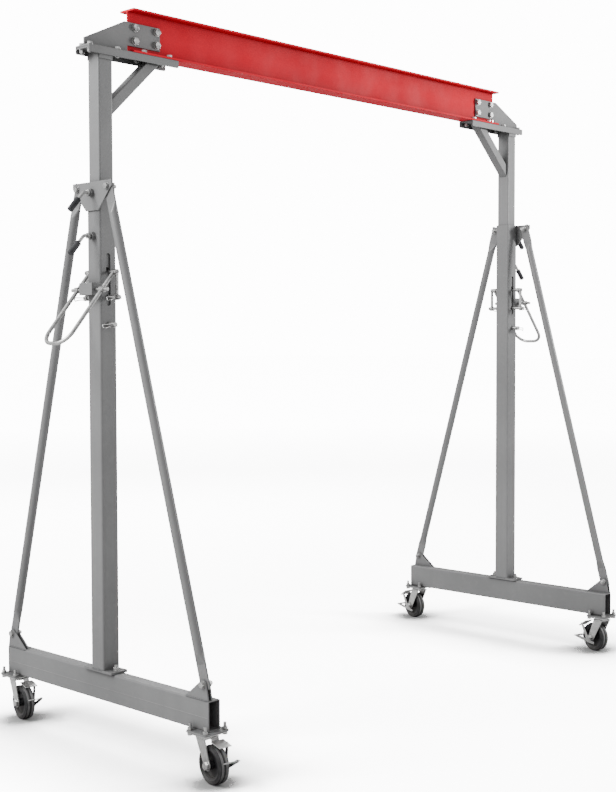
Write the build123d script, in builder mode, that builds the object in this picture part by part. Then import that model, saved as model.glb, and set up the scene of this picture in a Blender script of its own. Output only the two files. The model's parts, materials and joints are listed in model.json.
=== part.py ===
from build123d import *
import os
from math import cos, hypot, radians, sin, tan

os.makedirs("parts", exist_ok=True)

# Millimetres. X runs along the beam, Y along the base tubes, Z up; the origin is on the floor
# under the middle of the beam. The right-hand end (+X) is drawn and mirrored for the left.

# Lifting beam: rolled I-section
BEAM_HALF = 1068.0
BEAM_LOW, BEAM_HIGH = 2390.0, 2540.0
FLANGE_W, FLANGE_T, WEB_T, ROOT_R = 75.0, 7.0, 5.0, 8.0

# Saddle channel under each beam end, with its upright gusset
SADDLE_IN, SADDLE_OUT = 868.0, 1258.0
SADDLE_W, SADDLE_T, SADDLE_DROP, SADDLE_WALL = 76.0, 6.0, 27.0, 4.0
GUSSET_T = 6.0
GUSSET_LOW, GUSSET_TOP, GUSSET_EDGE = 2416.0, 2496.0, 2415.0
WEB_BOLT_X, WEB_BOLT_Z, WEB_BOLT = (944.0, 1041.0), (2435.0, 2480.0), 14.0
FLANGE_BOLT_X, SADDLE_BOLT_Y, SADDLE_BOLT = (898.0, 1011.0), 22.0, 12.0

# Telescoping post
POST_X = 1185.0
INNER, OUTER, WALL = 60.0, 70.0, 4.0
INNER_LOW, INNER_TOP = 765.0, 2378.0
OUTER_LOW, OUTER_TOP = 274.0, 1937.0
PITCH, LOCK_Z, HOLES_DOWN, HOLES_UP, HOLE_R = 93.0, 1456.0, 7, 2, 8.5
SLOT_LOW, SLOT_TOP, SLOT_W = 1520.0, 1697.0, 18.0
CAP_BOLT_X, CAP_T, LIP_T, LIP_LOW, LIP_W = 58.0, 6.0, 3.5, 2349.0, 56.0
BRACE_TUBE, BRACE_WALL, BRACE_LOW, BRACE_ANGLE = 40.0, 3.0, 2163.0, 43.5

# Base
BASE_LOW, BASE_H, BASE_W, BASE_HALF = 166.0, 100.0, 50.0, 556.0
BASE_TOP = BASE_LOW + BASE_H
FOOT_X, FOOT_Y, FOOT_BOLT_Y = 72.0, 156.0, 58.0
LUG_T, LUG_OUT, LUG_IN, LUG_Y, LUG_Z = 5.0, 19.5, 4.5, 530.0, 315.0
PAD_X, PAD_Y, PAD_T, CASTER_Y = 105.0, 95.0, 6.0, 524.0
PAD_BOLT_X, PAD_BOLT_Y, PAD_BOLT = 42.0, 36.0, 10.0

# Diagonal braces: round tube with flattened ends
EAR_T, EAR_Y, EAR_Z = 5.0, 82.0, 1917.0
TUBE_R, TUBE_WALL, FLAT_W, FLAT_T = 16.0, 2.0, 44.0, 8.0
BRACE_TOP_X, BRACE_FOOT_X = 31.0, 14.5
LEG_BOLT = 12.0

# Clamp screws, lift lever and pins
CLAMP_Z = {"upper": 1900.0, "lower": 1755.0}
SCREW_R, CRANK_X, CRANK_ANGLE, CRANK_ARM, GRIP_R = 6.0, 74.0, 48.0, 84.0, 10.5
FULCRUM_X, FULCRUM_Z, FULCRUM_R = 52.0, 1573.0, 6.0
BRACKET_Z, BRACKET_H, BRACKET_REACH = 1555.0, 41.0, 35.0
ROD_R, LEVER_Y, LEVER_UP, LEVER_DOWN, LEVER_ANGLE, LEVER_BEND = 7.0, 67.0, 79.0, 235.0, 50.0, 52.0
LINK_Y, LINK_R, LINK_DROP, STUB_R, LOCK_R = 81.0, 4.5, 85.0, 7.0, 8.0
GAP = 0.4  # kept between bodies that pass each other
RUN = 0.1  # radial clearance of a running fit

# Casters: swivel axis at the local origin, wheel trailing along local +X, axle along local Y
WHEEL_R, TYRE_W, TRAIL, AXLE_R = 62.5, 36.0, 35.0, 6.0
PLATE_Z, RACE_R, RACE_Z, YOKE_TOP, YOKE_T, YOKE_Y = 160.0, 30.0, 149.0, 148.6, 4.0, 24.0
# corner: side, end, heading of the trail, angle of the brake pedal below its released position
SWIVEL = {"left_front": (-1, -1, 263.0, 0.0), "left_rear": (-1, 1, 261.0, 0.0),
          "right_front": (1, -1, 78.0, 22.0), "right_rear": (1, 1, 78.0, 22.0)}


def save(piece, name):
    """Labels a finished piece and writes its STEP file."""
    piece.part.label = name
    export_step(piece.part, f"parts/{name}.step")


def save_pair(piece, name):
    """Writes the right-hand piece and its mirror image for the left end."""
    save(piece, f"{name}_right")
    with BuildPart() as twin:
        mirror(piece.part, about=Plane.YZ)
    save(twin, f"{name}_left")


def facing(axis, at):
    """A sketch plane at one coordinate: 'x' maps to (Y, Z), 'y' to (X, Z), 'z' to (X, Y)."""
    if axis == "x":
        return Plane(origin=(at, 0, 0), x_dir=(0, 1, 0), z_dir=(1, 0, 0))
    if axis == "y":
        return Plane(origin=(0, at, 0), x_dir=(1, 0, 0), z_dir=(0, -1, 0))
    return Plane.XY.offset(at)


def round_bar(plane, points, radius, amount, mode=Mode.ADD):
    """Round bars, or holes, of one length through the given points of a plane."""
    with BuildSketch(plane) as discs:
        with Locations(*points):
            Circle(radius)
    extrude(discs.sketch, amount=amount, mode=mode)


def hex_bar(plane, points, size, amount):
    """Bolt heads or nuts for a thread size, standing on a plane."""
    with BuildSketch(plane) as heads:
        with Locations(*points):
            RegularPolygon(0.77 * size, 6, major_radius=False)
    extrude(heads.sketch, amount=amount)


def bolts(seat, points, size, grip, tail=3.0):
    """Bolts with heads on the seat plane and washers and nuts beyond the grip."""
    washer, head, nut = 2.0, 0.62 * size, 0.8 * size
    round_bar(seat, points, size, washer)
    hex_bar(seat.offset(washer), points, size, head)
    round_bar(seat.offset(-grip), points, size, -washer)
    hex_bar(seat.offset(-grip - washer), points, size, -nut)
    round_bar(seat.offset(washer), points, size / 2, -(grip + 2 * washer + nut + tail))


def polygon(plane, points, amount, both=False):
    """A flat plate with straight edges, standing on a plane."""
    with BuildSketch(plane) as outline:
        with BuildLine():
            Polyline(*points, close=True)
        make_face()
    extrude(outline.sketch, amount=amount, both=both)


def spring_clip(x, y, z, size):
    """A hairpin clip lying outboard of a pin at (x, z): straight leg through it, bowed leg under."""
    wire = 1.8
    bow = size + wire + 0.6
    with BuildLine(facing("y", y)) as spring:
        Line((x - size - 6, z), (x + 42, z))
        ThreePointArc((x + 42, z), (x + 48, z - 6), (x + 42, z - 12))
        Spline((x + 42, z - 12), (x + size + 4, z - bow + 2), (x, z - bow), (x - size - 6, z - bow + 5),
               tangents=[(-1, 0), (-1, 0.6)])
    with BuildSketch(Plane(origin=spring.line @ 0, z_dir=spring.line % 0)) as profile:
        Circle(wire)
    sweep(profile.sketch, path=spring.line)


# ---------------------------------------------------------------- upper frame
with BuildPart() as i_beam:
    with BuildSketch(Plane.YZ.offset(-BEAM_HALF)) as section:
        with Locations((0, BEAM_LOW + FLANGE_T / 2), (0, BEAM_HIGH - FLANGE_T / 2)):
            Rectangle(FLANGE_W, FLANGE_T)
        with Locations((0, (BEAM_LOW + BEAM_HIGH) / 2)):
            Rectangle(WEB_T, BEAM_HIGH - BEAM_LOW)
        roots = [v for v in section.vertices() if abs(v.X) < WEB_T or abs(v.Y) < WEB_T]
        fillet([v for v in roots if BEAM_LOW + 1 < v.Z < BEAM_HIGH - 1], ROOT_R)
    extrude(amount=2 * BEAM_HALF)
    for s in (-1, 1):
        round_bar(facing("y", 20), [(s * x, z) for x in WEB_BOLT_X for z in WEB_BOLT_Z],
                  WEB_BOLT / 2, 40, Mode.SUBTRACT)
        round_bar(facing("z", BEAM_LOW - 1),
                  [(s * x, y) for x in FLANGE_BOLT_X for y in (-SADDLE_BOLT_Y, SADDLE_BOLT_Y)],
                  SADDLE_BOLT / 2, FLANGE_T + 2, Mode.SUBTRACT)
save(i_beam, "i_beam")

SADDLE_BOLTS = [(x, y) for x in (*FLANGE_BOLT_X, POST_X - CAP_BOLT_X, POST_X + CAP_BOLT_X)
                for y in (-SADDLE_BOLT_Y, SADDLE_BOLT_Y)]
SADDLE_MID, SADDLE_L = (SADDLE_IN + SADDLE_OUT) / 2, SADDLE_OUT - SADDLE_IN

with BuildPart() as saddle:
    with Locations((SADDLE_MID, 0, BEAM_LOW - SADDLE_DROP / 2)):
        Box(SADDLE_L, SADDLE_W, SADDLE_DROP)
    fillet(saddle.edges().filter_by(Axis.X).group_by(Axis.Z)[-1], 3)
    with Locations((SADDLE_MID, 0, BEAM_LOW - SADDLE_DROP / 2 - SADDLE_T)):
        Box(SADDLE_L + 2, SADDLE_W - 2 * SADDLE_WALL, SADDLE_DROP, mode=Mode.SUBTRACT)
    fillet([e for e in saddle.edges().filter_by(Axis.Y) if e.center().Z < BEAM_LOW - SADDLE_DROP + 0.1], 6)
    polygon(facing("y", -WEB_T / 2),
            [(929, GUSSET_LOW), (929, GUSSET_TOP), (1086, GUSSET_TOP), (1256, GUSSET_EDGE),
             (1256, BEAM_LOW), (BEAM_HALF + 6, BEAM_LOW), (BEAM_HALF + 6, GUSSET_LOW)], GUSSET_T)
    round_bar(facing("y", 0), [(x, z) for x in WEB_BOLT_X for z in WEB_BOLT_Z],
              WEB_BOLT / 2, 12, Mode.SUBTRACT)
    round_bar(facing("z", BEAM_LOW - SADDLE_T - 1), SADDLE_BOLTS, SADDLE_BOLT / 2, SADDLE_T + 2,
              Mode.SUBTRACT)
save_pair(saddle, "saddle")

with BuildPart() as post_cap:
    with Locations((POST_X, 0, INNER_TOP + CAP_T / 2)):
        Box(2 * CAP_BOLT_X + 28, SADDLE_W - 2 * SADDLE_WALL - 1, CAP_T)
    for s in (-1, 1):
        with Locations((POST_X, s * (INNER + LIP_T) / 2, (LIP_LOW + INNER_TOP) / 2)):
            Box(LIP_W, LIP_T, INNER_TOP - LIP_LOW)
    round_bar(facing("z", INNER_TOP - 1), SADDLE_BOLTS[4:], SADDLE_BOLT / 2, CAP_T + 2, Mode.SUBTRACT)
save_pair(post_cap, "post_cap")

with BuildPart() as inner_post:
    with BuildSketch(Plane.XY.offset(INNER_LOW)):
        with Locations((POST_X, 0)):
            RectangleRounded(INNER, INNER, 6)
            RectangleRounded(INNER - 2 * WALL, INNER - 2 * WALL, 2.5, mode=Mode.SUBTRACT)
    extrude(amount=INNER_TOP - INNER_LOW)
    round_bar(facing("y", INNER), [(POST_X, LOCK_Z + PITCH * k) for k in range(-HOLES_DOWN, HOLES_UP + 1)],
              HOLE_R, 2 * INNER, Mode.SUBTRACT)
save_pair(inner_post, "inner_post")

rise = tan(radians(BRACE_ANGLE))
wall_rise = BRACE_WALL / cos(radians(BRACE_ANGLE))
depth = BRACE_TUBE / cos(radians(BRACE_ANGLE))
foot_x, head_z = POST_X - INNER / 2, BEAM_LOW - SADDLE_T


def slanted(low, high, start, end_z):
    """Corners of the strip between two parallel edges, cut plumb at the post and level on top."""
    return [(start, low + (foot_x - start) * rise), (start, high + (foot_x - start) * rise),
            (foot_x - (end_z - high) / rise, end_z), (foot_x - (end_z - low) / rise, end_z)]


with BuildPart() as knee_brace:
    polygon(facing("y", 0), slanted(BRACE_LOW, BRACE_LOW + depth, foot_x, head_z), BRACE_TUBE / 2, True)
    fillet([e for e in knee_brace.edges()
            if e.geom_type == GeomType.LINE and abs(e.tangent_at(0).X * e.tangent_at(0).Z) > 0.2], 4)
    with BuildSketch(facing("y", 0)):
        with BuildLine():
            Polyline(*slanted(BRACE_LOW + wall_rise, BRACE_LOW + depth - wall_rise, foot_x + 5, head_z + 5),
                     close=True)
        make_face()
    extrude(amount=BRACE_TUBE / 2 - BRACE_WALL, both=True, mode=Mode.SUBTRACT)
save_pair(knee_brace, "knee_brace")

with BuildPart() as web_bolts:
    bolts(facing("y", -WEB_T / 2 - GUSSET_T),
          [(s * x, z) for s in (-1, 1) for x in WEB_BOLT_X for z in WEB_BOLT_Z],
          WEB_BOLT, WEB_T + GUSSET_T, 4)
save(web_bolts, "web_bolts")

with BuildPart() as saddle_bolts:
    for s in (-1, 1):
        bolts(facing("z", BEAM_LOW + FLANGE_T), [(s * x, y) for x, y in SADDLE_BOLTS[:4]],
              SADDLE_BOLT, FLANGE_T + SADDLE_T)
        bolts(facing("z", BEAM_LOW), [(s * x, y) for x, y in SADDLE_BOLTS[4:]],
              SADDLE_BOLT, SADDLE_T + CAP_T)
save(saddle_bolts, "saddle_bolts")

# ---------------------------------------------------------------- lower legs
FOOT_BOLTS = [(POST_X, s * FOOT_BOLT_Y) for s in (-1, 1)]

with BuildPart() as outer_post:
    with BuildSketch(Plane.XY.offset(OUTER_LOW)):
        with Locations((POST_X, 0)):
            RectangleRounded(OUTER, OUTER, 8)
            RectangleRounded(OUTER - 2 * WALL, OUTER - 2 * WALL, 3, mode=Mode.SUBTRACT)
    extrude(amount=OUTER_TOP - OUTER_LOW)
    # lift slot and lock-pin hole through the front and rear walls
    with BuildSketch(facing("y", OUTER)):
        with Locations((POST_X, (SLOT_LOW + SLOT_TOP) / 2)):
            SlotOverall(SLOT_TOP - SLOT_LOW, SLOT_W, rotation=90)
        with Locations((POST_X, LOCK_Z)):
            Circle(LOCK_R)
    extrude(amount=2 * OUTER, mode=Mode.SUBTRACT)
    # foot plate
    with BuildSketch(Plane.XY.offset(BASE_TOP)):
        with Locations((POST_X, 0)):
            RectangleRounded(FOOT_X, FOOT_Y, 6)
        with Locations(*FOOT_BOLTS):
            Circle(LEG_BOLT / 2, mode=Mode.SUBTRACT)
    extrude(amount=OUTER_LOW - BASE_TOP)
    # brace ears across the top of the outboard face
    face_x = POST_X + OUTER / 2
    polygon(facing("x", face_x),
            [(-106, OUTER_TOP), (106, OUTER_TOP), (106, OUTER_TOP - 19), (34, 1840), (-34, 1840),
             (-106, OUTER_TOP - 19)], EAR_T)
    round_bar(facing("x", face_x - 1), [(-EAR_Y, EAR_Z), (EAR_Y, EAR_Z)], LEG_BOLT / 2, EAR_T + 2,
              Mode.SUBTRACT)
    # lever bracket: a channel with its open side on the post
    with BuildSketch(Plane.XY.offset(BRACKET_Z)):
        with Locations((face_x + (BRACKET_REACH - 8) / 2, 0)):
            Rectangle(BRACKET_REACH + 8, OUTER)
        with Locations((face_x + (BRACKET_REACH - WALL) / 2, 0)):
            Rectangle(BRACKET_REACH - WALL, OUTER - 2 * WALL, mode=Mode.SUBTRACT)
        with Locations((POST_X, 0)):
            Rectangle(OUTER - 2 * WALL, OUTER - 2 * WALL, mode=Mode.SUBTRACT)
    extrude(amount=BRACKET_H)
    round_bar(facing("y", OUTER), [(POST_X + FULCRUM_X, FULCRUM_Z)], FULCRUM_R, 2 * OUTER, Mode.SUBTRACT)
    # welded clamp nuts, tapped through the wall
    hex_bar(facing("x", face_x + EAR_T), [(0, CLAMP_Z["upper"])], 16, 12)
    hex_bar(facing("x", face_x), [(0, CLAMP_Z["lower"])], 16, 12)
    round_bar(facing("x", POST_X + INNER / 2 - 2), [(0, z) for z in CLAMP_Z.values()], SCREW_R + RUN, 40,
              Mode.SUBTRACT)
save_pair(outer_post, "outer_post")

CORNERS = [(POST_X, s * CASTER_Y) for s in (-1, 1)]
PAD_BOLTS = [(x + a * PAD_BOLT_X, y + b * PAD_BOLT_Y) for x, y in CORNERS for a in (-1, 1) for b in (-1, 1)]

with BuildPart() as base_tube:
    with BuildSketch(Plane.XZ.offset(-BASE_HALF)):
        with Locations((POST_X, BASE_LOW + BASE_H / 2)):
            RectangleRounded(BASE_W, BASE_H, 6)
            RectangleRounded(BASE_W - 2 * WALL, BASE_H - 2 * WALL, 2.5, mode=Mode.SUBTRACT)
    extrude(amount=2 * BASE_HALF)
    # caster pads welded underneath
    with BuildSketch(Plane.XY.offset(PLATE_Z)):
        with Locations(*CORNERS):
            RectangleRounded(PAD_X, PAD_Y, 8)
    extrude(amount=PAD_T)
    round_bar(facing("z", PLATE_Z - 1), PAD_BOLTS, PAD_BOLT / 2, PAD_T + 2, Mode.SUBTRACT)
    round_bar(facing("z", BASE_TOP - WALL - 1), FOOT_BOLTS, LEG_BOLT / 2, WALL + 2, Mode.SUBTRACT)
    # a pair of triangular brace lugs at each end
    for s in (-1, 1):
        for x in (LUG_IN, LUG_OUT):
            with BuildSketch(facing("x", POST_X + x)):
                with Locations((s * LUG_Y, LUG_Z)):
                    Circle(15)
                with Locations((s * (BASE_HALF - 56), BASE_TOP)):
                    Rectangle(108, 1)
                make_hull()
            extrude(amount=LUG_T)
        round_bar(facing("x", POST_X), [(s * LUG_Y, LUG_Z)], LEG_BOLT / 2, 30, Mode.SUBTRACT)
save_pair(base_tube, "base_tube")


def brace(s):
    """A diagonal brace on side s of the post, from the ear bolt down to the lug bolt."""
    drop, reach = EAR_Z - LUG_Z, LUG_Y - EAR_Y
    length = hypot(drop, reach)
    along = (0, s * reach / length, -drop / length)

    def section(at, x):
        """Sketch plane square to the brace, its local y across the flat."""
        return Plane(origin=(POST_X + x, s * EAR_Y + along[1] * at, EAR_Z + along[2] * at),
                     x_dir=(1, 0, 0), z_dir=along)

    with BuildPart() as part:
        for x, start, crease, full in ((BRACE_TOP_X, -18, 62, 95),
                                       (BRACE_FOOT_X, length + 18, length - 62, length - 95)):
            with BuildSketch(section(start, x)):
                RectangleRounded(FLAT_T, FLAT_W, 3.9)
            extrude(amount=crease - start)
            with BuildSketch(section(crease, x)):
                RectangleRounded(FLAT_T, FLAT_W, 3.9)
            with BuildSketch(section(full, x)):
                RectangleRounded(2 * TUBE_R, 2 * TUBE_R, TUBE_R - 0.05)
            loft(ruled=True)
        for radius, mode in ((TUBE_R, Mode.ADD), (TUBE_R - TUBE_WALL, Mode.SUBTRACT)):
            with BuildSketch(section(95, BRACE_TOP_X)):
                Circle(radius)
            with BuildSketch(section(length - 95, BRACE_FOOT_X)):
                Circle(radius)
            loft(ruled=True, mode=mode)
        round_bar(facing("x", POST_X), [(s * EAR_Y, EAR_Z), (s * LUG_Y, LUG_Z)], LEG_BOLT / 2, 50,
                  Mode.SUBTRACT)
    return part


save_pair(brace(-1), "brace_front")
save_pair(brace(1), "brace_rear")

with BuildPart() as leg_bolts:
    bolts(facing("x", face_x + EAR_T), [(s * EAR_Y, EAR_Z) for s in (-1, 1)], LEG_BOLT, EAR_T + FLAT_T, 12)
    bolts(facing("x", POST_X + LUG_OUT + LUG_T), [(s * LUG_Y, LUG_Z) for s in (-1, 1)], LEG_BOLT,
          LUG_OUT + LUG_T - LUG_IN, 6)
    # foot bolts stand head down inside the base tube
    bolts(Plane(origin=(0, 0, BASE_TOP - WALL), x_dir=(1, 0, 0), z_dir=(0, 0, -1)), FOOT_BOLTS, LEG_BOLT,
          OUTER_LOW - BASE_TOP + WALL, 8)
    # pad bolts stand head down, with their nuts on top of the pads
    round_bar(facing("z", PLATE_Z - 4), PAD_BOLTS, PAD_BOLT / 2, PAD_T + 27)
    hex_bar(facing("z", PLATE_Z - 4), PAD_BOLTS, PAD_BOLT, -6)
    hex_bar(facing("z", PLATE_Z + PAD_T), PAD_BOLTS, PAD_BOLT, 9)
save_pair(leg_bolts, "leg_bolts")

with BuildPart() as caster_plates:
    with BuildSketch(Plane.XY.offset(PLATE_Z - 4)):
        with Locations(*CORNERS):
            RectangleRounded(100, 90, 8)
    extrude(amount=4)
    round_bar(facing("z", PLATE_Z - 5), PAD_BOLTS, PAD_BOLT / 2, 6, Mode.SUBTRACT)
    round_bar(facing("z", RACE_Z), CORNERS, RACE_R, PLATE_Z - 4 - RACE_Z)
    round_bar(facing("z", RACE_Z), CORNERS, 8, -11)
    round_bar(facing("z", RACE_Z - 11), CORNERS, 13, 4.8)
save_pair(caster_plates, "caster_plates")

# ---------------------------------------------------------------- clamp screws
for place, z in CLAMP_Z.items():
    bend = (POST_X + CRANK_X, z)
    slope = (cos(radians(CRANK_ANGLE)), -sin(radians(CRANK_ANGLE)))
    tip = (bend[0] + CRANK_ARM * slope[0], z + CRANK_ARM * slope[1])
    grip_from = (bend[0] + 32 * slope[0], z + 32 * slope[1])
    down = (slope[0], 0, slope[1])
    with BuildPart() as clamp_screw:
        with BuildLine(facing("y", 0)) as crank:
            FilletPolyline((POST_X + INNER / 2 + GAP, z), bend, tip, radius=14)
        with BuildSketch(Plane(origin=crank.line @ 0, z_dir=(1, 0, 0))):
            Circle(SCREW_R)
        sweep(path=crank.line)
        hex_bar(facing("x", POST_X + 54), [(0, z)], 12.5, 7)
    save_pair(clamp_screw, f"clamp_screw_{place}")
    with BuildPart() as clamp_grip:
        with BuildSketch(Plane(origin=(grip_from[0], 0, grip_from[1]), z_dir=down)):
            Circle(GRIP_R)
        extrude(amount=CRANK_ARM - 32 + 2)
        fillet(clamp_grip.edges(), 3)
        with BuildSketch(Plane(origin=(grip_from[0], 0, grip_from[1]), z_dir=down)):
            Circle(SCREW_R)
        extrude(amount=CRANK_ARM - 32, mode=Mode.SUBTRACT)
    save_pair(clamp_grip, f"clamp_grip_{place}")

# ---------------------------------------------------------------- lift lever, links and pins
lever_dir = (cos(radians(LEVER_ANGLE)), -sin(radians(LEVER_ANGLE)))
lever_top = (POST_X + FULCRUM_X - LEVER_UP * lever_dir[0], FULCRUM_Z - LEVER_UP * lever_dir[1])

with BuildPart() as lift_lever:
    lever_plane = Plane(origin=(POST_X + FULCRUM_X, 0, FULCRUM_Z), x_dir=(0, 1, 0),
                        z_dir=(lever_dir[1], 0, -lever_dir[0]))
    up = 1 if lever_plane.y_dir.Z > 0 else -1
    with BuildLine(lever_plane) as bow:
        FilletPolyline((-LEVER_Y, up * LEVER_UP), (-LEVER_Y, -up * LEVER_DOWN), (LEVER_Y, -up * LEVER_DOWN),
                       (LEVER_Y, up * LEVER_UP), radius=LEVER_BEND)
    with BuildSketch(Plane(origin=bow.line @ 0, z_dir=bow.line % 0)):
        Circle(ROD_R)
    sweep(path=bow.line)
    for y in (-LEVER_Y + ROD_R + 1, LEVER_Y + ROD_R + 1):
        round_bar(facing("y", y), [(POST_X + FULCRUM_X, FULCRUM_Z)], 10.5, 2 * ROD_R + 2)
        round_bar(facing("y", y), [lever_top], 9.5, 2 * ROD_R + 2)
    round_bar(facing("y", 100), [(POST_X + FULCRUM_X, FULCRUM_Z)], FULCRUM_R + RUN, 200, Mode.SUBTRACT)
    round_bar(facing("y", 100), [lever_top], 5 + RUN, 200, Mode.SUBTRACT)
save_pair(lift_lever, "lift_lever")

with BuildPart() as fulcrum_pin:
    round_bar(facing("y", 98), [(POST_X + FULCRUM_X, FULCRUM_Z)], FULCRUM_R, 196)
    for y in (80, -76):
        round_bar(facing("y", y), [(POST_X + FULCRUM_X, FULCRUM_Z)], 10, 4)
save_pair(fulcrum_pin, "fulcrum_pin")

with BuildPart() as lift_links:
    low = (lever_top[0], lever_top[1] - LINK_DROP)
    for s in (-1, 1):
        face = facing("y", s * (OUTER / 2 + GAP))
        round_bar(face, [lever_top], 5, -s * 52)
        round_bar(face, [low], STUB_R, -s * 62)
        # link bar hung between the two pins, with an eye at each end
        with BuildSketch(facing("y", s * LINK_Y + LINK_R)):
            with Locations(lever_top):
                Circle(8.5)
            with Locations(low):
                Circle(11)
            with Locations((low[0] - 1.5, (low[1] + lever_top[1]) / 2)):
                Rectangle(2 * LINK_R, LINK_DROP)
        extrude(amount=2 * LINK_R)
        spring_clip(low[0], s * 90, low[1], STUB_R)
save_pair(lift_links, "lift_links")

with BuildPart() as lock_pin:
    round_bar(facing("y", -INNER / 2 - GAP), [(POST_X, LOCK_Z)], LOCK_R, 42)
    round_bar(facing("y", INNER / 2 + GAP), [(POST_X, LOCK_Z)], LOCK_R, -18)
    round_bar(facing("y", OUTER / 2), [(POST_X, LOCK_Z)], 12, -6)
    spring_clip(POST_X, -64, LOCK_Z, LOCK_R)
save_pair(lock_pin, "lock_pin")

# ---------------------------------------------------------------- casters


def save_casters(piece, name, pedal=False):
    """Writes a caster piece, drawn round its axle, at each corner and rest heading."""
    for corner, (side, end, yaw, press) in SWIVEL.items():
        with BuildPart() as turned:
            with Locations((TRAIL, 0, WHEEL_R)):
                add(piece.part, rotation=(0, press if pedal else 0, 0))
        with BuildPart() as placed:
            with Locations((side * POST_X, end * CASTER_Y, 0)):
                add(turned.part, rotation=(0, 0, yaw))
        save(placed, f"{name}_{corner}")


with BuildPart() as yoke:
    top = YOKE_TOP - WHEEL_R
    round_bar(Plane.XY.offset(top), [(-TRAIL, 0)], 33, -5)
    with Locations((-TRAIL - 3, 0, top - 3.5)):
        Box(54, 2 * (YOKE_Y + YOKE_T), 3)
    round_bar(Plane.XY.offset(top + 1), [(-TRAIL, 0)], 8 + GAP, -8, Mode.SUBTRACT)
    for y in (-YOKE_Y, YOKE_Y + YOKE_T):
        with BuildSketch(facing("y", y)):
            Circle(16)
            with Locations((-TRAIL - 3, top - 4)):
                Rectangle(46, 4)
            make_hull()
        extrude(amount=YOKE_T)
    round_bar(facing("y", 50), [(0, 0)], AXLE_R, 100, Mode.SUBTRACT)
save_casters(yoke, "yoke")

with BuildPart() as axle_bolt:
    round_bar(facing("y", YOKE_Y + YOKE_T + 16), [(0, 0)], AXLE_R, 2 * (YOKE_Y + YOKE_T) + 16)
    hex_bar(facing("y", -YOKE_Y - YOKE_T), [(0, 0)], 2 * AXLE_R, 8)
    hex_bar(facing("y", YOKE_Y + YOKE_T + 5), [(0, 0)], 2 * AXLE_R, -9)
save_casters(axle_bolt, "axle_bolt")

with BuildPart() as wheel:
    with BuildSketch(Plane.XY):
        with BuildLine():
            Polyline((AXLE_R + RUN, -20), (14, -20), (14, -5), (40, -5), (40, -15), (45, -15), (45, 15),
                     (40, 15), (40, 5), (14, 5), (14, 20), (AXLE_R + RUN, 20), close=True)
        make_face()
    revolve(axis=Axis.Y)
save_casters(wheel, "wheel")

with BuildPart() as tyre:
    with BuildSketch(Plane.XY) as tread:
        with Locations(((45 + WHEEL_R) / 2, 0)):
            Rectangle(WHEEL_R - 45, TYRE_W)
        fillet(tread.vertices().group_by(Axis.X)[-1], 6)
    revolve(axis=Axis.Y)
save_casters(tyre, "tyre")

with BuildPart() as brake_pedal:
    plate_y = YOKE_Y + YOKE_T + GAP
    # side plate: hub to the low knuckle, shoe arm, and the bar from the front up to the foot tab
    for start, end in (((0, 0, 12), (21, -11, 9)), ((30, 68, 6), (21, -11, 8)),
                       ((86, 26, 5), (-4, -28, 6))):
        with BuildSketch(facing("y", plate_y + 3)):
            for x, z, r in (start, end):
                with Locations((x, z)):
                    Circle(r)
            make_hull()
        extrude(amount=3)
    round_bar(facing("y", plate_y + 5), [(0, 0)], AXLE_R + RUN, 10, Mode.SUBTRACT)
    # foot tab behind the tyre and shoe plate over it
    polygon(facing("y", plate_y + 3), [(75, 21), (98, 28.5), (97, 31.5), (74, 24)], plate_y + 19)
    polygon(facing("y", plate_y + 3), [(6, 74), (7, 77), (53, 67), (52, 64)], plate_y + 19)
save_casters(brake_pedal, "brake_pedal", pedal=True)
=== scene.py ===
import json
import logging
import math
from dataclasses import dataclass
from enum import Enum
from typing import Iterator

import bmesh
import bpy
from mathutils import Matrix, Vector


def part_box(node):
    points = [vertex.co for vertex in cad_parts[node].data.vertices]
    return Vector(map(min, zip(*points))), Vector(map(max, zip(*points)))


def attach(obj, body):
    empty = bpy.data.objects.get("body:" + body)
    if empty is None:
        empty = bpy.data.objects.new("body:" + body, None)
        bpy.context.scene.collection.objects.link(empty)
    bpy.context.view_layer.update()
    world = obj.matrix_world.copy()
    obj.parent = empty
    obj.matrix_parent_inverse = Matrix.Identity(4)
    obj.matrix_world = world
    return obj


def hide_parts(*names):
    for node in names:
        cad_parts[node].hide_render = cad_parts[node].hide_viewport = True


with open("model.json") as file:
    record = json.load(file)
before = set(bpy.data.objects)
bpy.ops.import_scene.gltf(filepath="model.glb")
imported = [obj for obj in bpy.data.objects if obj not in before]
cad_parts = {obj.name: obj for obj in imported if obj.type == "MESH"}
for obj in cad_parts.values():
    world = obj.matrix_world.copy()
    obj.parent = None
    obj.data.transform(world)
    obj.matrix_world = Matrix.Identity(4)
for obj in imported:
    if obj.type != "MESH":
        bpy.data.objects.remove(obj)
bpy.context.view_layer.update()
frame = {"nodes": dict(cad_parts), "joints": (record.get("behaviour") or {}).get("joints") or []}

LOG = logging.getLogger("gantry")
Colour = tuple[float, float, float]
Socket = bpy.types.NodeSocket
Run = tuple[Vector, Vector]

POST_X = 1.185
BASE_HALF_W = 0.025
BASE_REACH = 0.552


class End(Enum):
    """The two ends of the crane, by the sign of X."""

    LEFT = -1
    RIGHT = 1

    @property
    def label(self) -> str:
        """Suffix that this end's node and body names carry."""
        return self.name.lower()


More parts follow.
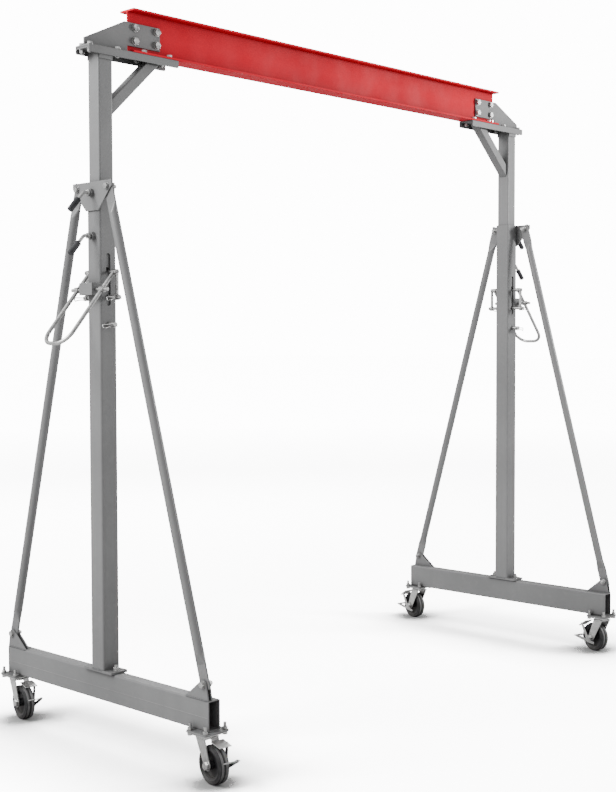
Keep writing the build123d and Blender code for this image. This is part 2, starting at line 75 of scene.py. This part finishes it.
class Shader:
    """A small wrapper that wires one node material."""

    def __init__(self, name: str) -> None:
        """Start an empty material.

        Args:
            name: The material's name.
        """
        self.material = bpy.data.materials.new(name)
        self.material.use_nodes = True
        self.tree = self.material.node_tree
        self.tree.nodes.clear()
        self.place = self.node("ShaderNodeTexCoord").outputs["Object"]

    def node(self, kind: str, settings: dict[str, object] | None = None, **inputs: object) -> bpy.types.Node:
        """Add a node, set its properties and plug or set its inputs.

        Args:
            kind: Blender's node type.
            settings: Properties of the node itself.
            **inputs: Socket values or sockets, with underscores for spaces.

        Returns:
            The new node.
        """
        made = self.tree.nodes.new(kind)
        for key, value in (settings or {}).items():
            setattr(made, key, value)
        for key, value in inputs.items():
            socket = made.inputs[key.replace("_", " ")]
            if isinstance(value, Socket):
                self.tree.links.new(value, socket)
            else:
                socket.default_value = value
        return made

    def noise(self, scale: float, detail: float = 4.0, stretch: Colour = (1, 1, 1)) -> Socket:
        """Return a noise factor over object coordinates.

        Args:
            scale: Noise scale per metre.
            detail: Octaves.
            stretch: Scale factors per axis.

        Returns:
            The factor socket.
        """
        mapped = self.node("ShaderNodeMapping", Vector=self.place, Scale=stretch)
        made = self.node("ShaderNodeTexNoise", Vector=mapped.outputs[0], Scale=scale, Detail=detail)
        return made.outputs[0]

    def band(self, value: Socket, low: float, high: float, out_low: float = 0.0,
             out_high: float = 1.0) -> Socket:
        """Map a factor from one range to another, clamped.

        Args:
            value: Factor to map.
            low: Start of the input range.
            high: End of the input range.
            out_low: Result at low.
            out_high: Result at high.

        Returns:
            The mapped socket.
        """
        made = self.node("ShaderNodeMapRange", Value=value, To_Min=out_low, To_Max=out_high)
        made.inputs["From Min"].default_value = low
        made.inputs["From Max"].default_value = high
        return made.outputs[0]

    def mix(self, factor: Socket | float, first: Socket | Colour, second: Socket | Colour) -> Socket:
        """Mix two colours.

        Args:
            factor: Socket or number, 0 for the first colour.
            first: Colour or socket.
            second: Colour or socket.

        Returns:
            The mixed colour socket.
        """
        made = self.node("ShaderNodeMix", {"data_type": "RGBA"})
        for index, value in ((0, factor), (6, first), (7, second)):
            if isinstance(value, Socket):
                self.tree.links.new(value, made.inputs[index])
            else:
                made.inputs[index].default_value = value if index == 0 else (*value, 1.0)
        return made.outputs[2]

    def rounded(self, radius: float) -> Socket:
        """Return a normal that rolls over sharp edges.

        Args:
            radius: Edge radius in metres.

        Returns:
            The normal socket.
        """
        return self.node("ShaderNodeBevel", {"samples": 6}, Radius=radius).outputs[0]

    def edges(self, radius: float) -> Socket:
        """Return a mask that is 1 on sharp edges and 0 on flat faces.

        Args:
            radius: Reach of the mask in metres.

        Returns:
            The mask socket.
        """
        soft = self.rounded(radius)
        plain = self.node("ShaderNodeNewGeometry").outputs["Normal"]
        dot = self.node("ShaderNodeVectorMath", {"operation": "DOT_PRODUCT"})
        self.tree.links.new(soft, dot.inputs[0])
        self.tree.links.new(plain, dot.inputs[1])
        return self.band(dot.outputs["Value"], 0.995, 0.90)

    def painted_shade(self, colour: Socket, reach: float) -> Socket:
        """Darken a colour with painted shade in corners and under overhangs.

        Args:
            colour: Colour before the painted shade.
            reach: How far from a corner the painted shade spreads, in metres.

        Returns:
            The colour socket with the painted shade.
        """
        # painted shade: ambient occlusion darkens the colour in corners and under overhangs
        open_air = self.node("ShaderNodeAmbientOcclusion", {"samples": 6}, Distance=reach).outputs["AO"]
        return self.scaled(colour, self.band(open_air, 0.35, 0.95, 0.38, 1.0))

    def scaled(self, colour: Socket, factor: Socket) -> Socket:
        """Return a colour made brighter or darker by a factor."""
        made = self.node("ShaderNodeVectorMath", {"operation": "SCALE"}, Vector=colour, Scale=factor)
        return made.outputs[0]

    def finish(self, surface: bpy.types.Node) -> bpy.types.Material:
        """Join the surface to the output.

        Args:
            surface: The shader node.

        Returns:
            The finished material.
        """
        out = self.node("ShaderNodeOutputMaterial")
        self.tree.links.new(surface.outputs[0], out.inputs[0])
        return self.material


@dataclass(frozen=True)
class Paint:
    """A sprayed coat over steel: broad mottling, dust, orange peel, lighter edges that are partly worn thin
    paint and partly a painted highlight, and painted shade in corners.
    """

    name: str
    colour: Colour
    shade: Colour
    edge: Colour
    rough: float = 0.42
    coat: float = 0.15
    wear_and_highlight: float = 0.6
    gloss: float = 0.45
    dust: Colour = (0.33, 0.325, 0.315)

    def build(self) -> bpy.types.Material:
        """Make the node material.

        Returns:
            The material.
        """
        s = Shader(self.name)
        broad = s.band(s.noise(2.3, 5.0), 0.35, 0.68)
        streaks = s.band(s.noise(14.0, 6.0, (1, 1, 0.12)), 0.42, 0.75, 0.0, 0.35)
        body = s.mix(broad, self.colour, self.shade)
        body = s.mix(streaks, body, self.shade)
        dusty = s.band(s.noise(38.0, 8.0), 0.55, 0.8, 0.0, 0.16)
        body = s.mix(dusty, body, self.dust)
        # lighter edges: partly worn thin paint, partly a painted highlight along sharp edges
        chips_and_highlight = s.node("ShaderNodeMath", {"operation": "MULTIPLY"})
        s.tree.links.new(s.edges(0.0022), chips_and_highlight.inputs[0])
        s.tree.links.new(s.band(s.noise(70.0, 4.0), 0.46, 0.72, 0.0, self.wear_and_highlight), chips_and_highlight.inputs[1])
        body = s.mix(chips_and_highlight.outputs[0], body, self.edge)
        # painted shade in corners and under overhangs
        body = s.painted_shade(body, 0.07)
        rough = s.band(s.noise(9.0, 6.0), 0.3, 0.7, self.rough - 0.07, self.rough + 0.12)
        peel = s.node("ShaderNodeBump", Height=s.noise(420.0, 2.0), Strength=0.10, Distance=0.0006,
                      Normal=s.rounded(0.0016))
        surface = s.node("ShaderNodeBsdfPrincipled", Base_Color=body, Roughness=rough, Normal=peel.outputs[0],
                         Coat_Weight=self.coat, Coat_Roughness=0.22, Specular_IOR_Level=self.gloss)
        return s.finish(surface)


@dataclass(frozen=True)
class Plating:
    """Bright zinc plate: cloudy passivation, fine scratches, dull spots and painted shade in corners."""

    name: str
    colour: Colour
    dull: Colour
    rough: float = 0.26

    def build(self) -> bpy.types.Material:
        """Make the node material.

        Returns:
            The material.
        """
        s = Shader(self.name)
        clouds = s.band(s.noise(46.0, 5.0), 0.35, 0.7)
        body = s.mix(clouds, self.colour, self.dull)
        spots = s.band(s.noise(210.0, 3.0), 0.62, 0.74, 0.0, 0.45)
        # dull spots, then painted shade in corners
        body = s.painted_shade(s.mix(spots, body, (0.30, 0.29, 0.27)), 0.02)
        rough = s.band(s.noise(120.0, 6.0), 0.3, 0.75, self.rough - 0.06, self.rough + 0.2)
        scratch = s.node("ShaderNodeBump", Height=s.noise(300.0, 5.0, (1, 0.2, 1)), Strength=0.16,
                         Distance=0.0005, Normal=s.rounded(0.0007))
        surface = s.node("ShaderNodeBsdfPrincipled", Base_Color=body, Roughness=rough,
                         Normal=scratch.outputs[0], Metallic=1.0)
        return s.finish(surface)


@dataclass(frozen=True)
class Moulding:
    """Rubber or plastic: speckle, scuffs on edges, and dust towards the floor."""

    name: str
    colour: Colour
    scuff: Colour
    rough: float = 0.6
    grain: float = 500.0
    floor_dust: float = 0.0

    def build(self) -> bpy.types.Material:
        """Make the node material.

        Returns:
            The material.
        """
        s = Shader(self.name)
        body = s.mix(s.band(s.noise(60.0, 6.0), 0.4, 0.7, 0.0, 0.5), self.colour, self.scuff)
        body = s.mix(s.band(s.edges(0.0012), 0.0, 1.0, 0.0, 0.35), body, self.scuff)
        if self.floor_dust:
            height = s.node("ShaderNodeSeparateXYZ", Vector=s.place).outputs[2]
            body = s.mix(s.band(height, 0.06, 0.0, 0.0, self.floor_dust), body, (0.34, 0.32, 0.30))
        rough = s.band(s.noise(90.0, 4.0), 0.3, 0.7, self.rough - 0.1, self.rough + 0.12)
        grain = s.node("ShaderNodeBump", Height=s.noise(self.grain, 3.0), Strength=0.25, Distance=0.0005)
        surface = s.node("ShaderNodeBsdfPrincipled", Base_Color=body, Roughness=rough,
                         Normal=grain.outputs[0], Specular_IOR_Level=0.35)
        return s.finish(surface)


class Palette:
    """Every finish on the crane, built once."""

    def __init__(self) -> None:
        """Build the materials."""
        self.red = Paint("BeamEnamel", (0.88, 0.002, 0.026), (0.72, 0.001, 0.020), (0.86, 0.05, 0.06),
                         rough=0.5, coat=0.0, wear_and_highlight=0.2, gloss=0.12, dust=(0.80, 0.02, 0.04)).build()
        self.grey = Paint("FramePaint", (0.240, 0.241, 0.243), (0.190, 0.191, 0.193),
                          (0.46, 0.46, 0.46)).build()
        self.pale = Paint("PostPaint", (0.250, 0.251, 0.253), (0.205, 0.206, 0.208), (0.48, 0.48, 0.48),
                          rough=0.38).build()
        self.weld = Paint("WeldPaint", (0.18, 0.182, 0.186), (0.145, 0.146, 0.15), (0.34, 0.34, 0.34),
                          rough=0.5).build()
        # lighter paint for the painted highlight line along the base tubes
        self.seam = Paint("SeamHighlightPaint", (0.36, 0.36, 0.36), (0.28, 0.28, 0.28), (0.5, 0.5, 0.5),
                          rough=0.35).build()
        self.zinc = Plating("ZincPlate", (0.74, 0.74, 0.73), (0.50, 0.50, 0.50)).build()
        self.bright = Plating("CasterZinc", (0.93, 0.93, 0.92), (0.78, 0.78, 0.77), rough=0.34).build()
        self.steel = Plating("PinSteel", (0.74, 0.74, 0.73), (0.52, 0.52, 0.52), rough=0.3).build()
        self.grip = Moulding("GripRubber", (0.030, 0.031, 0.034), (0.085, 0.086, 0.09), rough=0.55).build()
        self.core = Moulding("WheelCore", (0.012, 0.012, 0.014), (0.05, 0.05, 0.052), rough=0.4,
                             floor_dust=0.25).build()
        # lighter rubber for the painted highlight bands on the tread
        self.tread = Moulding("TreadHighlight", (0.16, 0.16, 0.16), (0.26, 0.26, 0.26), rough=0.55,
                              floor_dust=0.1).build()
        self.tyre = Moulding("TyreRubber", (0.020, 0.020, 0.021), (0.060, 0.060, 0.062), rough=0.5,
                             floor_dust=0.12).build()

    def dress(self, nodes: dict[str, bpy.types.Object]) -> None:
        """Give every CAD node its finish.

        Args:
            nodes: CAD nodes by name.
        """
        table = (("i_beam", self.red), ("inner_post", self.pale), ("outer_post", self.grey),
                 ("saddle_bolts", self.zinc), ("web_bolts", self.zinc), ("leg_bolts", self.zinc),
                 ("saddle", self.grey), ("post_cap", self.grey), ("knee_brace", self.grey),
                 ("base_tube", self.grey), ("brace_", self.grey), ("caster_plates", self.bright),
                 ("clamp_grip", self.grip), ("clamp_screw", self.zinc), ("fulcrum_pin", self.steel),
                 ("lift_", self.zinc), ("lock_pin", self.steel), ("yoke", self.bright),
                 ("axle_bolt", self.bright), ("wheel", self.core), ("tyre", self.tyre),
                 ("brake_pedal", self.bright))
        for name, obj in nodes.items():
            material = next(finish for stem, finish in table if name.startswith(stem))
            obj.data.materials.clear()
            obj.data.materials.append(material)


@dataclass
class Builder:
    """Base for added pieces: holds the finishes and turns a bmesh into a riding object."""

    palette: Palette

    @staticmethod
    def add(name: str, mesh: bmesh.types.BMesh, material: bpy.types.Material, body: str,
            smooth: bool = True) -> bpy.types.Object:
        """Turn a bmesh into a piece that rides on a body.

        Args:
            name: Piece name.
            mesh: Geometry in the row frame; freed here.
            material: Its finish.
            body: CAD body it moves with.
            smooth: Whether faces are shaded smooth.

        Returns:
            The new object.
        """
        bmesh.ops.recalc_face_normals(mesh, faces=mesh.faces)
        data = bpy.data.meshes.new(name)
        mesh.to_mesh(data)
        mesh.free()
        for polygon in data.polygons:
            polygon.use_smooth = smooth
        data.materials.append(material)
        obj = bpy.data.objects.new(name, data)
        bpy.context.scene.collection.objects.link(obj)
        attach(obj, body)
        LOG.info("%s rides on %s", name, body)
        return obj


def casters() -> Iterator[tuple[str, Vector, Vector]]:
    """Walk the casters.

    Yields:
        Corner name, axle direction and wheel centre.
    """
    for joint in frame["joints"]:
        if joint["name"].startswith("roll_"):
            corner = joint["name"][len("roll_"):-len("_spin")]
            yield corner, Vector(joint["axis"]).normalized(), Vector(joint["pos_m"])


@dataclass
class WeldSeams(Builder):
    """Rippled weld beads where plates and tubes are joined. X is counted outwards from the middle."""

    bead: float = 0.0030
    pitch: float = 0.0034
    foot_z: float = 0.274
    post_half: float = 0.035
    flat_y: float = 0.0273
    flat_x: float = 0.027
    ear_y: float = 0.026
    ear_drop: tuple[float, float] = (0.002, 0.094)
    base_z: tuple[float, float] = (0.166, 0.266)
    lug_x: tuple[float, float] = (0.0045, 0.0245)
    lug_y: tuple[float, float] = (0.450, 0.550)
    pad_y: float = 0.480
    gusset_x: tuple[float, float] = (1.076, 1.254)
    gusset_y: float = -0.0085
    gusset_z: float = 2.390
    inner_x: float = 1.155
    inner_y: float = 0.026
    head_z: tuple[float, float] = (2.372, 2.378)
    saddle_z: float = 2.384
    brace_low: float = 2.163
    brace_angle: float = math.radians(43.5)
    brace_tube: float = 0.040
    brace_y: tuple[float, float] = (0.016, 0.018)

    def lay(self, name: str, runs: list[Run], body: str) -> None:
        """Lay beads along straight runs.

        Args:
            name: Piece name.
            runs: Start and end of each run, in the row frame.
            body: CAD body that carries them.
        """
        mesh = bmesh.new()
        for start, end in runs:
            length = (end - start).length
            count = max(2, int(length / self.pitch))
            for i in range(count):
                wobble = 0.88 + 0.24 * (0.5 + 0.5 * math.sin(i * 2.399 + length * 91.0))
                spot = start.lerp(end, (i + 0.5) / count)
                place = Matrix.Translation(spot) @ Matrix.Scale(wobble, 4)
                bmesh.ops.create_icosphere(mesh, subdivisions=1, radius=self.bead, matrix=place)
        self.add(name, mesh, self.palette.weld, body)

    def leg_runs(self, end: End) -> list[Run]:
        """Trace the welds of one leg.

        Args:
            end: The leg's end.

        Returns:
            Runs round the post's foot, the ears, the lugs and the caster pads.
        """
        side, half, foot = end.value, self.post_half, self.foot_z
        centre, top = side * POST_X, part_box(f"outer_post_{end.label}")[1].z
        low, high = self.base_z
        runs = [(Vector((centre + x, y, foot)), Vector((centre + x, -y, foot)))
                for x, y in ((-half, -self.flat_y), (half, self.flat_y))]
        runs += [tuple(Vector((centre + x, s * half, foot)) for x in (-self.flat_x, self.flat_x))
                 for s in (-1, 1)]
        runs += [tuple(Vector((centre + side * half, s * self.ear_y, top - drop)) for drop in self.ear_drop)
                 for s in (-1, 1)]
        runs += [tuple(Vector((centre + side * x, s * y, high)) for y in self.lug_y)
                 for s in (-1, 1) for x in self.lug_x]
        runs += [tuple(Vector((centre + side * BASE_HALF_W, s * y, low)) for y in (self.pad_y, BASE_REACH))
                 for s in (-1, 1)]
        return runs

    def head_runs(self, end: End) -> list[Run]:
        """Trace the welds at one end of the upper frame.

        Args:
            end: The end.

        Returns:
            Runs along the gusset, round the knee brace's two cut ends and beside the post head.
        """
        side, inner = end.value, self.inner_x
        narrow, wide = self.brace_y
        upper = self.brace_low + self.brace_tube / math.cos(self.brace_angle)
        brace_x = inner - (self.saddle_z - upper) / math.tan(self.brace_angle)
        runs = [tuple(Vector((side * x, self.gusset_y, self.gusset_z)) for x in self.gusset_x)]
        runs += [(Vector((side * inner, s * wide, self.brace_low + 0.005)),
                  Vector((side * inner, s * wide, upper - 0.004))) for s in (-1, 1)]
        runs += [(Vector((side * x, -narrow, z)), Vector((side * x, narrow, z)))
                 for x, z in ((inner, self.brace_low + 0.001), (inner, upper - 0.001),
                              (brace_x, self.saddle_z))]
        runs += [tuple(Vector((side * inner, s * self.inner_y, z)) for z in reversed(self.head_z))
                 for s in (-1, 1)]
        return runs

    def build(self) -> None:
        """Lay every bead of both ends."""
        for end in End:
            self.lay(f"leg_welds_{end.label}", self.leg_runs(end), f"leg_{end.label}")
            self.lay(f"head_welds_{end.label}", self.head_runs(end), "upper_frame")


@dataclass
class TubeSeamHighlights(Builder):
    """The low rib that runs along the outboard face of each base tube, painted lighter as a painted highlight
    line.
    """

    height: float = 0.211
    proud: float = 0.0005
    thick: float = 0.0016
    chamfer: float = 0.0003

    def build(self) -> None:
        """Lay one low rib per base tube, painted as a highlight line."""
        for end in End:
            mesh = bmesh.new()
            face = end.value * (POST_X + BASE_HALF_W)
            place = Matrix.LocRotScale(Vector((face, 0, self.height)), None,
                                       Vector((2 * self.proud, 2 * BASE_REACH, self.thick)))
            bmesh.ops.create_cube(mesh, size=1.0, matrix=place)
            bmesh.ops.bevel(mesh, geom=list(mesh.edges), offset=self.chamfer, segments=1, profile=0.5,
                            affect="EDGES", material=-1)
            # painted highlight: the rib's lighter paint stands for the bright line along the tube
            self.add(f"tube_seam_highlight_{end.label}", mesh, self.palette.seam, f"leg_{end.label}", smooth=False)


@dataclass
class RibbedTyre(Builder):
    """A caster tyre with moulded rings on its sidewalls and lighter bands on the tread, painted as the
    highlight along the tread.
    """

    rim: float = 0.045
    radius: float = 0.0625
    width: float = 0.036
    rings: tuple[float, float, float] = (0.0030, 0.0062, 0.0094)
    ring_high: float = 0.0012
    shoulder: float = 0.0048
    shoulder_steps: int = 6
    groove: float = 0.0011
    steps: int = 96

    def profile(self) -> list[tuple[float, float]]:
        """Return the half section as (radius, offset) points from one rim edge to the other.

        Returns:
            Points that close on themselves.
        """
        half, low = self.width / 2, self.width / 2 - self.ring_high
        wall = [(self.rim, half - 0.0030), (self.rim + 0.0012, low)]
        for ring in self.rings:
            at = self.rim + ring
            wall += [(at, low), (at + 0.0006, half), (at + 0.0016, half), (at + 0.0022, low)]
        for step in range(self.shoulder_steps):
            turn = math.radians(18 * step)
            wall.append((self.radius - self.shoulder + self.shoulder * math.sin(turn) - 0.0002,
                         half - self.shoulder + 0.0040 * math.cos(turn)))
        sunk = self.radius - self.groove
        tread = [(self.radius, half - 0.0070), (self.radius, 0.0044), (sunk, 0.0036), (sunk, 0.0024),
                 (self.radius, 0.0016)]
        near = wall + tread
        return near + [(r, -y) for r, y in reversed(near)]

    def build(self) -> None:
        """Spin one tyre per caster in place of its plain node."""
        out = Vector((0, 0, 1))
        for corner, axis, centre in casters():
            mesh = bmesh.new()
            ring = [mesh.verts.new(centre + out * r + axis * y) for r, y in self.profile()]
            lines = [mesh.edges.new((a, b)) for a, b in zip(ring, ring[1:] + ring[:1])]
            bmesh.ops.spin(mesh, geom=ring + lines, cent=centre, axis=axis, angle=math.tau, steps=self.steps,
                           use_merge=True, use_duplicate=False)
            # painted highlight: the tread bands either side of the groove get the lighter tread material
            for face in mesh.faces:
                arm = face.calc_center_median() - centre
                offset = arm.dot(axis)
                outer = (arm - axis * offset).length > self.radius - 0.0016
                face.material_index = int(outer and 0.0034 < abs(offset) < self.width / 2 - 0.0056)
            tyre = self.add(f"ribbed_tyre_{corner}", mesh, self.palette.tyre, f"roll_{corner}")
            tyre.data.materials.append(self.palette.tread)
            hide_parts(f"tyre_{corner}")


@dataclass
class AxleHeads(Builder):
    """Broad forged heads over the plain hexagons on the caster axles."""

    seat: float = 0.0282
    height: float = 0.0092
    radius: float = 0.0135
    chamfer: float = 0.0014

    def build(self) -> None:
        """Set one head on each axle, on the side where the bolt stands out less."""
        for corner, axis, centre in casters():
            bolt = frame["nodes"][f"axle_bolt_{corner}"].data
            reach = [(v.co - centre).dot(axis) for v in bolt.vertices]
            outward = axis if max(reach) < -min(reach) else -axis
            place = Matrix.Translation(centre + outward * (self.seat + self.height / 2))
            mesh = bmesh.new()
            bmesh.ops.create_cone(mesh, cap_ends=True, segments=6, radius1=self.radius, radius2=self.radius,
                                  depth=self.height,
                                  matrix=place @ outward.to_track_quat("Z", "Y").to_matrix().to_4x4())
            bmesh.ops.bevel(mesh, geom=list(mesh.edges), offset=self.chamfer, segments=2, profile=0.5,
                            affect="EDGES", material=-1)
            self.add(f"axle_head_{corner}", mesh, self.palette.bright, f"swivel_{corner}", smooth=False)


@dataclass(frozen=True)
class Lamp:
    """A disc lamp aimed at a point."""

    name: str
    at: Colour
    aim: Colour
    size: float
    power: float

    def build(self) -> None:
        """Hang the lamp."""
        data = bpy.data.lights.new(self.name, "AREA")
        data.shape, data.size, data.energy = "DISK", self.size, self.power
        obj = bpy.data.objects.new(self.name, data)
        obj.location = self.at
        obj.rotation_euler = (Vector(self.aim) - Vector(self.at)).to_track_quat("-Z", "Y").to_euler()
        bpy.context.scene.collection.objects.link(obj)


@dataclass
class Studio:
    """Pale sweep, soft surround, lamps and the camera."""

    eye: Colour = (-3.9299, -3.5910, 1.4024)
    azimuth: float = -46.316
    below: float = 2.462
    roll: float = -0.142
    lens: float = 76.35
    floor_reach: float = 80.0
    floor_seen: float = 8.0
    floor_bounce: float = 0.5
    backdrop: float = 14.0
    glow: Colour = (-0.72, 0.30, 0.62)
    dim: float = 0.12
    bright: float = 1.05
    lamps: tuple[Lamp, ...] = (
        Lamp("KeyLamp", (-5.0, 1.6, 4.4), (0.0, 0.0, 1.2), 2.4, 330.0),
        Lamp("RightLamp", (2.9, -2.6, 2.6), (1.2, 0.0, 1.9), 1.2, 120.0),
        Lamp("BackLamp", (3.5, 5.0, 4.8), (0.0, 0.0, 1.4), 3.0, 110.0),
    )

    def floor_finish(self) -> bpy.types.Material:
        """Make the pale floor: bright where it is seen, painted brighter further out, with a painted contact
        shadow where something stands on it.

        Returns:
            The floor material.
        """
        s = Shader("StudioFloor")
        seen = s.node("ShaderNodeLightPath").outputs["Is Camera Ray"]
        level = s.band(seen, 0.0, 1.0, self.floor_bounce, self.floor_seen)
        open_sky = s.node("ShaderNodeAmbientOcclusion", {"samples": 12}, Distance=0.5).outputs["AO"]
        # painted contact shadow: ambient occlusion darkens the floor under and beside the crane
        painted_contact_shadow = s.band(open_sky, 0.74, 0.975, 0.05, 1.0)
        away = s.node("ShaderNodeVectorMath", {"operation": "LENGTH"}, Vector=s.place).outputs["Value"]
        # painted brightening: the floor grows brighter further from the middle
        lift = s.band(away, 2.0, 16.0, 1.0, 2.6)
        tone = s.mix(s.band(s.noise(0.8, 3.0), 0.3, 0.7, 0.0, 0.1), (1.0, 1.0, 1.0), (0.96, 0.96, 0.96))
        for factor in (painted_contact_shadow, lift, level):
            tone = s.scaled(tone, factor)
        return s.finish(s.node("ShaderNodeBsdfDiffuse", Color=tone))

    def floor(self) -> None:
        """Lay the floor in two halves that meet under the beam, each going with the leg on it."""
        material = self.floor_finish()
        for end in End:
            mesh = bmesh.new()
            shift = Matrix.Translation((end.value * self.floor_reach / 2, 0, 0))
            bmesh.ops.create_grid(mesh, x_segments=1, y_segments=1, size=self.floor_reach,
                                  matrix=shift @ Matrix.Diagonal((0.5, 1, 1, 1)))
            data = bpy.data.meshes.new(f"StudioFloor_{end.label}")
            mesh.to_mesh(data)
            mesh.free()
            data.materials.append(material)
            obj = bpy.data.objects.new(data.name, data)
            bpy.context.scene.collection.objects.link(obj)
            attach(obj, f"leg_{end.label}")

    def surround(self) -> None:
        """Paint the surround: white where it is seen, brighter towards the upper left as light."""
        world = bpy.data.worlds.new("Surround")
        bpy.context.scene.world = world
        world.use_nodes = True
        nodes, links = world.node_tree.nodes, world.node_tree.links
        sky = nodes["Background"]
        sky.inputs["Color"].default_value = (1.0, 1.0, 1.0, 1.0)
        facing = nodes.new("ShaderNodeVectorMath")
        facing.operation = "DOT_PRODUCT"
        facing.inputs[1].default_value = Vector(self.glow).normalized()
        links.new(nodes.new("ShaderNodeTexCoord").outputs["Generated"], facing.inputs[0])
        ramp = nodes.new("ShaderNodeMapRange")
        ramp.inputs["From Min"].default_value = -0.35
        ramp.inputs["To Min"].default_value = self.dim
        ramp.inputs["To Max"].default_value = self.bright
        links.new(facing.outputs["Value"], ramp.inputs["Value"])
        pick = nodes.new("ShaderNodeMix")
        pick.inputs[3].default_value = self.backdrop
        links.new(nodes.new("ShaderNodeLightPath").outputs["Is Camera Ray"], pick.inputs[0])
        links.new(ramp.outputs[0], pick.inputs[2])
        links.new(pick.outputs[0], sky.inputs["Strength"])

    def camera(self) -> None:
        """Stand the camera off the front left corner, looking across the crane."""
        turn, dip = math.radians(self.azimuth), math.radians(self.below)
        ahead = Vector((-math.sin(turn) * math.cos(dip), math.cos(turn) * math.cos(dip), -math.sin(dip)))
        data = bpy.data.cameras.new("MainCamera")
        data.sensor_fit, data.sensor_width, data.lens = "HORIZONTAL", 36.0, self.lens
        data.clip_end = 200.0
        obj = bpy.data.objects.new("MainCamera", data)
        level = ahead.to_track_quat("-Z", "Y").to_matrix().to_4x4()
        tilt = Matrix.Rotation(math.radians(self.roll), 4, "Z")
        obj.matrix_world = Matrix.Translation(Vector(self.eye)) @ level @ tilt
        bpy.context.scene.collection.objects.link(obj)
        bpy.context.scene.camera = obj

    def build(self) -> None:
        """Set up the whole studio."""
        self.floor()
        self.surround()
        for lamp in self.lamps:
            lamp.build()
        self.camera()


def main() -> None:
    """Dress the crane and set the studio."""
    logging.basicConfig(level=logging.INFO, format="%(name)s: %(message)s")
    palette = Palette()
    palette.dress(frame["nodes"])
    WeldSeams(palette).build()
    TubeSeamHighlights(palette).build()
    RibbedTyre(palette).build()
    AxleHeads(palette).build()
    Studio().build()
    LOG.info("dressed %d nodes", len(frame["nodes"]))


if __name__ == "__main__":
    main()
